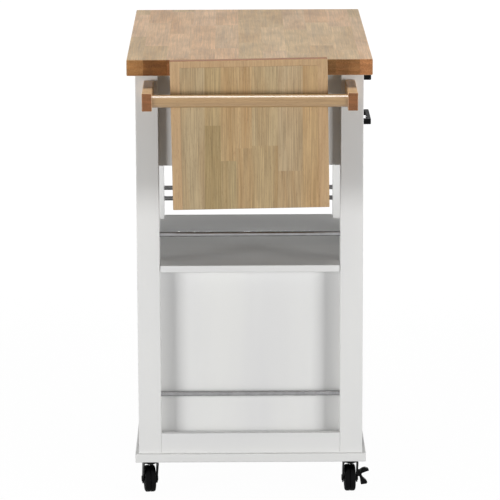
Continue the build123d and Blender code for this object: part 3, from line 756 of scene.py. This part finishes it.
def mesh_piece(
    name: str, points: np.ndarray, faces: np.ndarray, smooth: bool = True
) -> bpy.types.Object:
    """Makes a mesh object at the origin.

    Args:
        name: The piece's name.
        points: An array of points, in the row frame.
        faces: An array of four point numbers a face, turned so that the face looks outwards.
        smooth: True where light should run on across the faces.

    Returns:
        The object.
    """
    mesh = bpy.data.meshes.new(name)
    mesh.vertices.add(len(points))
    mesh.vertices.foreach_set("co", points.astype(np.float32).ravel())
    mesh.loops.add(faces.size)
    mesh.loops.foreach_set("vertex_index", faces.astype(np.int32).ravel())
    mesh.polygons.add(len(faces))
    starts = np.arange(0, faces.size, faces.shape[1], dtype=np.int32)
    mesh.polygons.foreach_set("loop_start", starts)
    mesh.polygons.foreach_set("use_smooth", np.full(len(faces), smooth))
    mesh.update(calc_edges=True)
    merged = bmesh.new()
    merged.from_mesh(mesh)
    bmesh.ops.remove_doubles(merged, verts=merged.verts, dist=MERGE_DISTANCE)
    merged.to_mesh(mesh)
    merged.free()
    mesh.validate()
    piece = bpy.data.objects.new(name, mesh)
    bpy.context.scene.collection.objects.link(piece)
    return piece


def turned(
    radius: np.ndarray, height: np.ndarray, centre: np.ndarray, axis: np.ndarray
) -> tuple[np.ndarray, ...]:
    """Turns a closed profile round an axis, where the profile may change on its way round.

    With s the place on the profile and t the angle, the point is centre plus height(s, t) along
    the axis plus radius(s, t) times cos t along one cross direction and sin t along the other.

    Args:
        radius, height: One row for each place on the profile and one column for each angle. The
            profile runs anticlockwise as radius points right and height up.
        centre: The point on the axis where height is 0.
        axis: The unit vector of the axis.

    Returns:
        The points and the faces.
    """
    helper = np.eye(3)[int(np.argmin(np.abs(axis)))]
    first = np.cross(axis, helper)
    first /= np.linalg.norm(first)
    second = np.cross(axis, first)
    rows, count = height.shape
    angle = angles(count)[None, :, None]
    points = centre + height[..., None] * axis
    points = points + radius[..., None] * (np.cos(angle) * first + np.sin(angle) * second)
    return points.reshape(-1, 3), grid_faces(rows, count)


def angles(count: int) -> np.ndarray:
    """Gives that many even angles once round, in radians."""
    return np.linspace(0.0, 2.0 * np.pi, count, endpoint=False)


def squarish(turn: np.ndarray, power: float = 0.6) -> np.ndarray:
    """Gives a rounded square's places across and up: cos and sin, raised to a power, signs kept."""
    wave = np.stack((np.cos(turn), np.sin(turn)))
    return np.sign(wave) * np.abs(wave) ** power


def grid_faces(rows: int, columns: int, closed: bool = True) -> np.ndarray:
    """Joins a grid of points, which closes round its columns, with four-sided faces.

    Args:
        rows: Points along the profile.
        columns: Points round the axis.
        closed: True where the last row joins the first again.

    Returns:
        Four point numbers a face: row times columns plus column, both wrapped at their ends.
    """
    joined_rows = np.arange(rows if closed else rows - 1)
    row, column = np.meshgrid(joined_rows, np.arange(columns), indexing="ij")
    next_row, next_column = (row + 1) % rows, (column + 1) % columns
    corners = ((row, column), (row, next_column), (next_row, next_column), (next_row, column))
    return np.stack([r * columns + c for r, c in corners], axis=-1).reshape(-1, 4)


def dress(finish: Finish, *names: str) -> None:
    """Gives frame nodes a finish.

    Args:
        finish: What they are made of.
        names: The nodes' names.
    """
    for name in names:
        for place in frame["nodes"][name].material_slots:
            place.material = material_of(finish)
        LOG.info("%s is %s", name, finish.name)


# ---------------------------------------------------------------- sub-assemblies


class Buildable(ABC):
    """Anything that main builds in its turn."""

    @abstractmethod
    def build(self) -> None:
        """Makes and dresses what belongs to it."""


@dataclass
class Carcass(Buildable):
    """The painted posts, base, shelf, case and panels, with what is screwed into them."""

    upright: Finish = WHITE_UPRIGHT
    level: Finish = WHITE_LEVEL
    rods: Finish = STEEL_ROD
    runners: Finish = ZINC
    inserts: Finish = BRASS

    def build(self) -> None:
        """Paints every panel along its own length."""
        for end in End:
            dress(self.upright, f"case_panel_{end.value}", f"end_panel_{end.value}")
            dress(self.level, f"end_rail_{end.value}")
            dress(self.upright, *(f"leg_{end.value}_{side.value}" for side in Side))
            dress(self.rods, f"rods_{end.value}_end")
        dress(self.level, "base_plate", "mid_shelf", "case_bottom")
        dress(self.level, "stretcher_front", "stretcher_back")
        dress(self.upright, "case_back", "lower_back")
        dress(self.runners, "runner_channels", "frame_screws")
        dress(self.inserts, "leg_inserts")


@dataclass
class Worktop(Buildable):
    """The butcher-block top."""

    finish: Finish = BLOCK_TOP

    def build(self) -> None:
        """Dresses the top."""
        dress(self.finish, "worktop")


@dataclass
class TowelRail(Buildable):
    """Two arms and the round bar between them."""

    arms: Finish = ARM_WOOD_PAINTED_LIGHT
    bar: Finish = BAR_WOOD

    def build(self) -> None:
        """Dresses the arms and the bar."""
        dress(self.arms, "towel_arm_front", "towel_arm_back")
        dress(self.bar, "towel_dowel")


@dataclass
class ChoppingBoard(Buildable):
    """The board behind the bar: staves, lippings on three sides and hidden clips."""

    lipping: Finish = LIPPING_WOOD
    clips: Finish = DARK_STEEL
    staves: tuple[Stave, ...] = (
        Stave(48 * MM, 0.50, shade(178, 158, 125), shade(176, 156, 124)),
        Stave(31 * MM, 0.79, shade(176, 154, 116), shade(168, 149, 111)),
        Stave(30 * MM, 0.72, shade(184, 158, 119), shade(172, 152, 115)),
        Stave(31 * MM, 0.745, shade(187, 160, 121), shade(179, 153, 115)),
        Stave(50 * MM, 0.75, shade(181, 160, 125), shade(178, 155, 118)),
        Stave(48 * MM, 0.70, shade(181, 160, 128), shade(180, 156, 121)),
        Stave(30 * MM, 0.50, shade(184, 155, 115), shade(180, 152, 113)),
    )

    def build(self) -> None:
        """Lists the staves from the panel's low side and dresses the board."""
        low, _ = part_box("board_panel")
        panel = Timber(
            name="board_staves", grain=Axis.Z, staves=self.staves, stave_start=low[0],
            ring_density=150.0, ring_strength=0.75, fibre_strength=0.30,
        )
        dress(panel, "board_panel")
        dress(self.lipping, "board_lipping")
        dress(self.clips, "board_clips", "worktop_clips")


@dataclass
class Drawer(Buildable):
    """One drawer: painted front, ply box, steel rails and a black bar pull."""

    level: Level
    front: Finish = WHITE_LEVEL
    box: Finish = DRAWER_WOOD
    rails: Finish = ZINC
    pull: Finish = BLACK_METAL

    def build(self) -> None:
        """Dresses the drawer."""
        name = f"drawer_{self.level.value}"
        dress(self.front, f"{name}_front")
        dress(self.box, f"{name}_box", f"{name}_bottom")
        dress(self.rails, f"{name}_rails", f"{name}_pull_screws")
        dress(self.pull, f"{name}_pull")


@dataclass
class Caster(Buildable):
    """One swivel caster: stem, formed fork, axle, spoked wheel and, at the front, a foot brake."""

    end: End
    side: Side
    seal_radius: float = 15.1 * MM
    seal_width: float = 1.0 * MM
    seal_height: float = 2.2 * MM
    seal_gap: float = 0.05 * MM
    seal_points: int = 16
    seal_steps: int = 64
    spoke_count: int = 12
    spoke_steps: int = 24
    spoke_rings: int = 6
    spoke_span: Range = (13.2 * MM, 18.4 * MM)
    spoke_half_width: float = 0.7 * MM
    spoke_slope: float = 0.5 * MM
    spoke_rise: float = 1.6 * MM
    dish_half_width: float = 8.0 * MM
    face_sink: float = 0.15 * MM
    back_sink: float = 0.4 * MM
    tab_out: tuple[float, ...] = (6.3 * MM, 11.4 * MM, 16.9 * MM)
    tab_up: tuple[float, ...] = (8.8 * MM, 9.8 * MM, 8.0 * MM)
    rib_places: tuple[float, ...] = (7.6 * MM, 10.2 * MM, 12.8 * MM, 15.4 * MM)
    rib_length: float = 10.2 * MM
    rib_radius: float = 0.75 * MM
    rib_sink: float = 0.3 * MM
    rib_fullness: int = 6
    rib_points: int = 12
    rib_steps: int = 15
    corner: str = field(init=False)
    hub: np.ndarray = field(init=False)
    swivel: np.ndarray = field(init=False)
    trail: np.ndarray = field(init=False)
    axle: np.ndarray = field(init=False)

    def __post_init__(self) -> None:
        """Finds the swivel axis and the way that the wheel trails and its axle points."""
        self.corner = f"{self.end.value}_{self.side.value}"
        self.hub = self.middle(f"caster_wheel_{self.corner}")
        self.swivel = self.middle(f"caster_stem_{self.corner}") * (1.0, 1.0, 0.0)
        self.trail = (self.hub - self.swivel) * (1.0, 1.0, 0.0)
        self.trail /= np.linalg.norm(self.trail)
        self.axle = np.cross(self.trail, UP)

    @staticmethod
    def middle(node: str) -> np.ndarray:
        """Gives the middle of a node's box."""
        low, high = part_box(node)
        return np.array((low + high) / 2)

    def build(self) -> None:
        """Dresses the caster, then adds its seal, its wheel's spokes and its rocker's grip."""
        dress(DARK_STEEL, f"caster_stem_{self.corner}", f"caster_axle_{self.corner}")
        dress(BLACK_METAL, f"caster_fork_{self.corner}")
        dress(BLACK_RUBBER, f"caster_wheel_{self.corner}")
        self.seal()
        self.spokes()
        if self.side is Side.FRONT:
            dress(BLACK_PLASTIC, f"brake_rocker_{self.corner}")
            self.grip()

    def seal(self) -> None:
        """Makes the race's grit seal: a rounded square profile, turned about the swivel."""
        _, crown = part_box(f"caster_fork_{self.corner}")
        across, up = squarish(angles(self.seal_points))
        radius = self.seal_radius + self.seal_width / 2 * (1.0 + across)
        height = crown.z + self.seal_gap + self.seal_height / 2 * (1.0 + up)
        rows = [np.repeat(row[:, None], self.seal_steps, axis=1) for row in (radius, height)]
        ring = turned(*rows, self.swivel, UP)
        self.keep("swivel_seal", "swivel", *ring, BLACK_RUBBER, "black_rubber")

    def spokes(self) -> None:
        """Makes the ribs in both dishes of the wheel.

        Each dish has one flat ring, sunk just under its floor, whose outer face is raised to the
        spokes' height where its distance from the nearest spoke's centre line is under the half
        width. Beside the spoke, the height is the rise times q squared times 3 less 2q, where q
        falls from 1 to 0 over the slope.
        """
        turn = angles(self.spoke_steps * self.spoke_count)
        pitch = 2.0 * np.pi / self.spoke_count
        off_centre = np.abs((turn + pitch / 2) % pitch - pitch / 2)
        radius = np.linspace(*self.spoke_span, self.spoke_rings)
        beside = radius[:, None] * np.sin(off_centre)[None, :] - self.spoke_half_width
        share = np.clip(1.0 - beside / self.spoke_slope, 0.0, 1.0)
        face = self.spoke_rise * share**2 * (3.0 - 2.0 * share) - self.face_sink
        radii = np.repeat(np.concatenate((radius, radius[::-1]))[:, None], len(turn), axis=1)
        rise = np.concatenate((np.full_like(face, -self.back_sink), face[::-1]))
        for name, way in (("inner", -1.0), ("outer", 1.0)):
            centre = self.hub + way * self.dish_half_width * self.axle
            ring = turned(radii, rise, centre, way * self.axle)
            self.keep(f"wheel_spokes_{name}", "wheel", *ring, BLACK_RUBBER, "black_rubber")

    def grip(self) -> None:
        """Makes the ribs on the rocker's pressing tab.

        A rib is a circle carried along the trail. At the place v, from -1 to 1 along it, its radius
        is the rib's own times the root of 1 less v raised to the fullness, so both ends close.
        """
        pivot = self.pivot()
        turn = angles(self.rib_points)
        along = np.sin(np.linspace(-np.pi / 2, np.pi / 2, self.rib_steps))
        size = self.rib_radius * (1.0 - along**self.rib_fullness) ** 0.5
        ring = np.cos(turn)[:, None] * self.outward() + np.sin(turn)[:, None] * UP
        line = along[:, None, None] * self.rib_length / 2 * self.trail
        faces = grid_faces(len(along), len(turn), closed=False)
        for number, out in enumerate(self.rib_places):
            lift = np.interp(out, self.tab_out, self.tab_up) - self.rib_sink
            centre = pivot + out * self.outward() + lift * UP
            points = (centre + line + size[:, None, None] * ring).reshape(-1, 3)
            self.keep(f"rocker_rib_{number}", "brake", points, faces, BLACK_PLASTIC, "black_plastic")

    def outward(self) -> np.ndarray:
        """Gives the way along the axle towards the rocker."""
        away = self.middle(f"brake_rocker_{self.corner}") - self.hub
        return self.axle * np.sign(away @ self.axle)

    def pivot(self) -> np.ndarray:
        """Finds the point that the rocker turns about.

        Returns:
            The place of its joint.
        """
        joints = frame["record"]["behaviour"]["joints"]
        joint = next(item for item in joints if item["child"] == f"brake_{self.corner}")
        return np.array(joint["pos_m"])

    def keep(
        self, name: str, body: str, points: np.ndarray, faces: np.ndarray, finish: Finish, slot: str
    ) -> None:
        """Makes a piece of trim and gives it its finish and its body.

        Args:
            name: The piece's name, before the corner's.
            body: The body's name, before the corner's.
            points, faces: Its mesh.
            finish: What it is made of.
            slot: The record's slot of that finish; not used.
        """
        piece = mesh_piece(f"{name}_{self.corner}", points, faces)
        piece.data.materials.append(material_of(finish))
        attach(piece, f"{body}_{self.corner}")
        LOG.info("%s made", piece.name)


# ---------------------------------------------------------------- studio


@dataclass
class SoftBox:
    """A square area lamp that looks at the cart."""

    name: str
    place: tuple[float, float, float]
    size: float
    power: float
    target: tuple[float, float, float] = (0.0, 0.0, 0.45)

    def build(self) -> None:
        """Makes the lamp."""
        data = bpy.data.lights.new(self.name, "AREA")
        data.size = self.size
        data.energy = self.power
        lamp = bpy.data.objects.new(self.name, data)
        lamp.location = self.place
        lamp.visible_camera = False
        aim = Vector(self.target) - lamp.location
        lamp.rotation_euler = aim.to_track_quat("-Z", "Y").to_euler()
        bpy.context.scene.collection.objects.link(lamp)


@dataclass
class Studio(Buildable):
    """A pale floor, soft lamps, a plain white surround and a long lens."""

    lamps: tuple[SoftBox, ...] = (
        SoftBox("key_left", (-2.9, -2.15, 0.67), 1.1, 85.0),
        SoftBox("key_right", (2.9, -2.15, 0.67), 1.1, 84.0),
        SoftBox("overhead", (0.0, -0.2, 3.0), 1.2, 38.0),
        SoftBox("rear_fill", (0.0, 3.6, 0.26), 0.42, 45.0),
    )
    ambient: float = 0.08
    floor_size: float = 60.0
    floor_colour: Colour = shade(160, 160, 160)
    floor_roughness: float = 0.9
    floor_white: float = 0.94
    floor_glow: float = 1.04
    floor_fade: Range = (1.2, 4.0)
    camera_place: tuple[float, float, float] = (-0.0414, -6.3392, 1.8562)
    camera_yaw: float = 0.3417
    camera_pitch: float = 12.3694
    camera_roll: float = -0.2
    camera_reach: float = 100.0
    lens_per_width: float = 6.2572

    def build(self) -> None:
        """Sets the look of the picture, then makes the surround, floor, lamps and camera."""
        bpy.context.scene.view_settings.view_transform = "Standard"
        self.surround()
        self.floor()
        for lamp in self.lamps:
            lamp.build()
        self.camera()

    def surround(self) -> None:
        """Makes a world that looks white and lights the cart with a softer grey."""
        world = bpy.data.worlds.new("surround")
        bpy.context.scene.world = world
        world.use_nodes = True
        nodes, links = world.node_tree.nodes, world.node_tree.links
        background = nodes["Background"]
        background.inputs["Color"].default_value = WHITE
        strength = nodes.new("ShaderNodeMapRange")
        links.new(self.seen(nodes, links), strength.inputs["Value"])
        strength.inputs["To Min"].default_value = self.ambient
        links.new(strength.outputs["Result"], background.inputs["Strength"])

    @staticmethod
    def seen(nodes: Any, links: Any) -> Socket:
        """Tells the rays that look at a surface from those that light it.

        Args:
            nodes, links: Those of the tree that asks.

        Returns:
            1 for a ray from the camera, a mirror or a see-through surface, else 0.
        """
        path = nodes.new("ShaderNodeLightPath")
        total = path.outputs["Is Camera Ray"]
        for name in ("Is Glossy Ray", "Is Transmission Ray"):
            node = nodes.new("ShaderNodeMath")
            node.operation = "MAXIMUM"
            links.new(total, node.inputs[0])
            links.new(path.outputs[name], node.inputs[1])
            total = node.outputs[0]
        return total

    def floor(self) -> None:
        """Lays a pale floor that looks nearly white and keeps the cart's shadow."""
        low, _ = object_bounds()
        half = self.floor_size / 2
        ways = ((-1, -1), (1, -1), (1, 1), (-1, 1))
        points = np.array([(x * half, y * half, low.z) for x, y in ways])
        floor = mesh_piece("floor", points, np.array([[0, 1, 2, 3]]), smooth=False)
        floor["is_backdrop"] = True
        tree = Tree("pale_floor")
        tree.set(Base_Color=self.floor_colour, Roughness=self.floor_roughness)
        glow = tree.add("Emission", {"Color": WHITE, "Strength": self.floor_glow})
        away = tree.add("VectorMath", {0: tree.place()}, operation="LENGTH").outputs["Value"]
        white = tree.spread(away, self.floor_fade, (self.floor_white, 1.0))
        share = tree.maths("MULTIPLY", self.seen(tree.nodes, tree.links), white)
        both = tree.add("MixShader", {0: share, 1: tree.shader.outputs[0], 2: glow.outputs[0]})
        tree.feed(tree.nodes["Material Output"].inputs["Surface"], both.outputs[0])
        floor.data.materials.append(tree.material)

    def camera(self) -> None:
        """Stands the camera far off the towel end, looking a little down."""
        data = bpy.data.cameras.new("camera")
        data.lens = self.lens_per_width * data.sensor_width
        data.clip_end = self.camera_reach
        camera = bpy.data.objects.new("camera", data)
        camera.location = self.camera_place
        tilt = math.radians(90.0 - self.camera_pitch)
        camera.rotation_euler = (tilt, 0.0, -math.radians(self.camera_yaw))
        camera.rotation_euler.rotate_axis("Z", math.radians(self.camera_roll))
        bpy.context.scene.collection.objects.link(camera)
        bpy.context.scene.camera = camera


def main() -> None:
    """Builds and dresses the sub-assemblies in order, then the studio."""
    logging.basicConfig(level=logging.INFO, format="%(message)s")
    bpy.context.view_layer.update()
    parts: list[Buildable] = [Worktop(), Carcass(), TowelRail(), ChoppingBoard()]
    parts += [Drawer(level) for level in Level]
    parts += [Caster(end, side) for end in End for side in Side]
    parts.append(Studio())
    for part in parts:
        part.build()
        LOG.info("%s done", type(part).__name__)


if __name__ == "__main__":
    main()
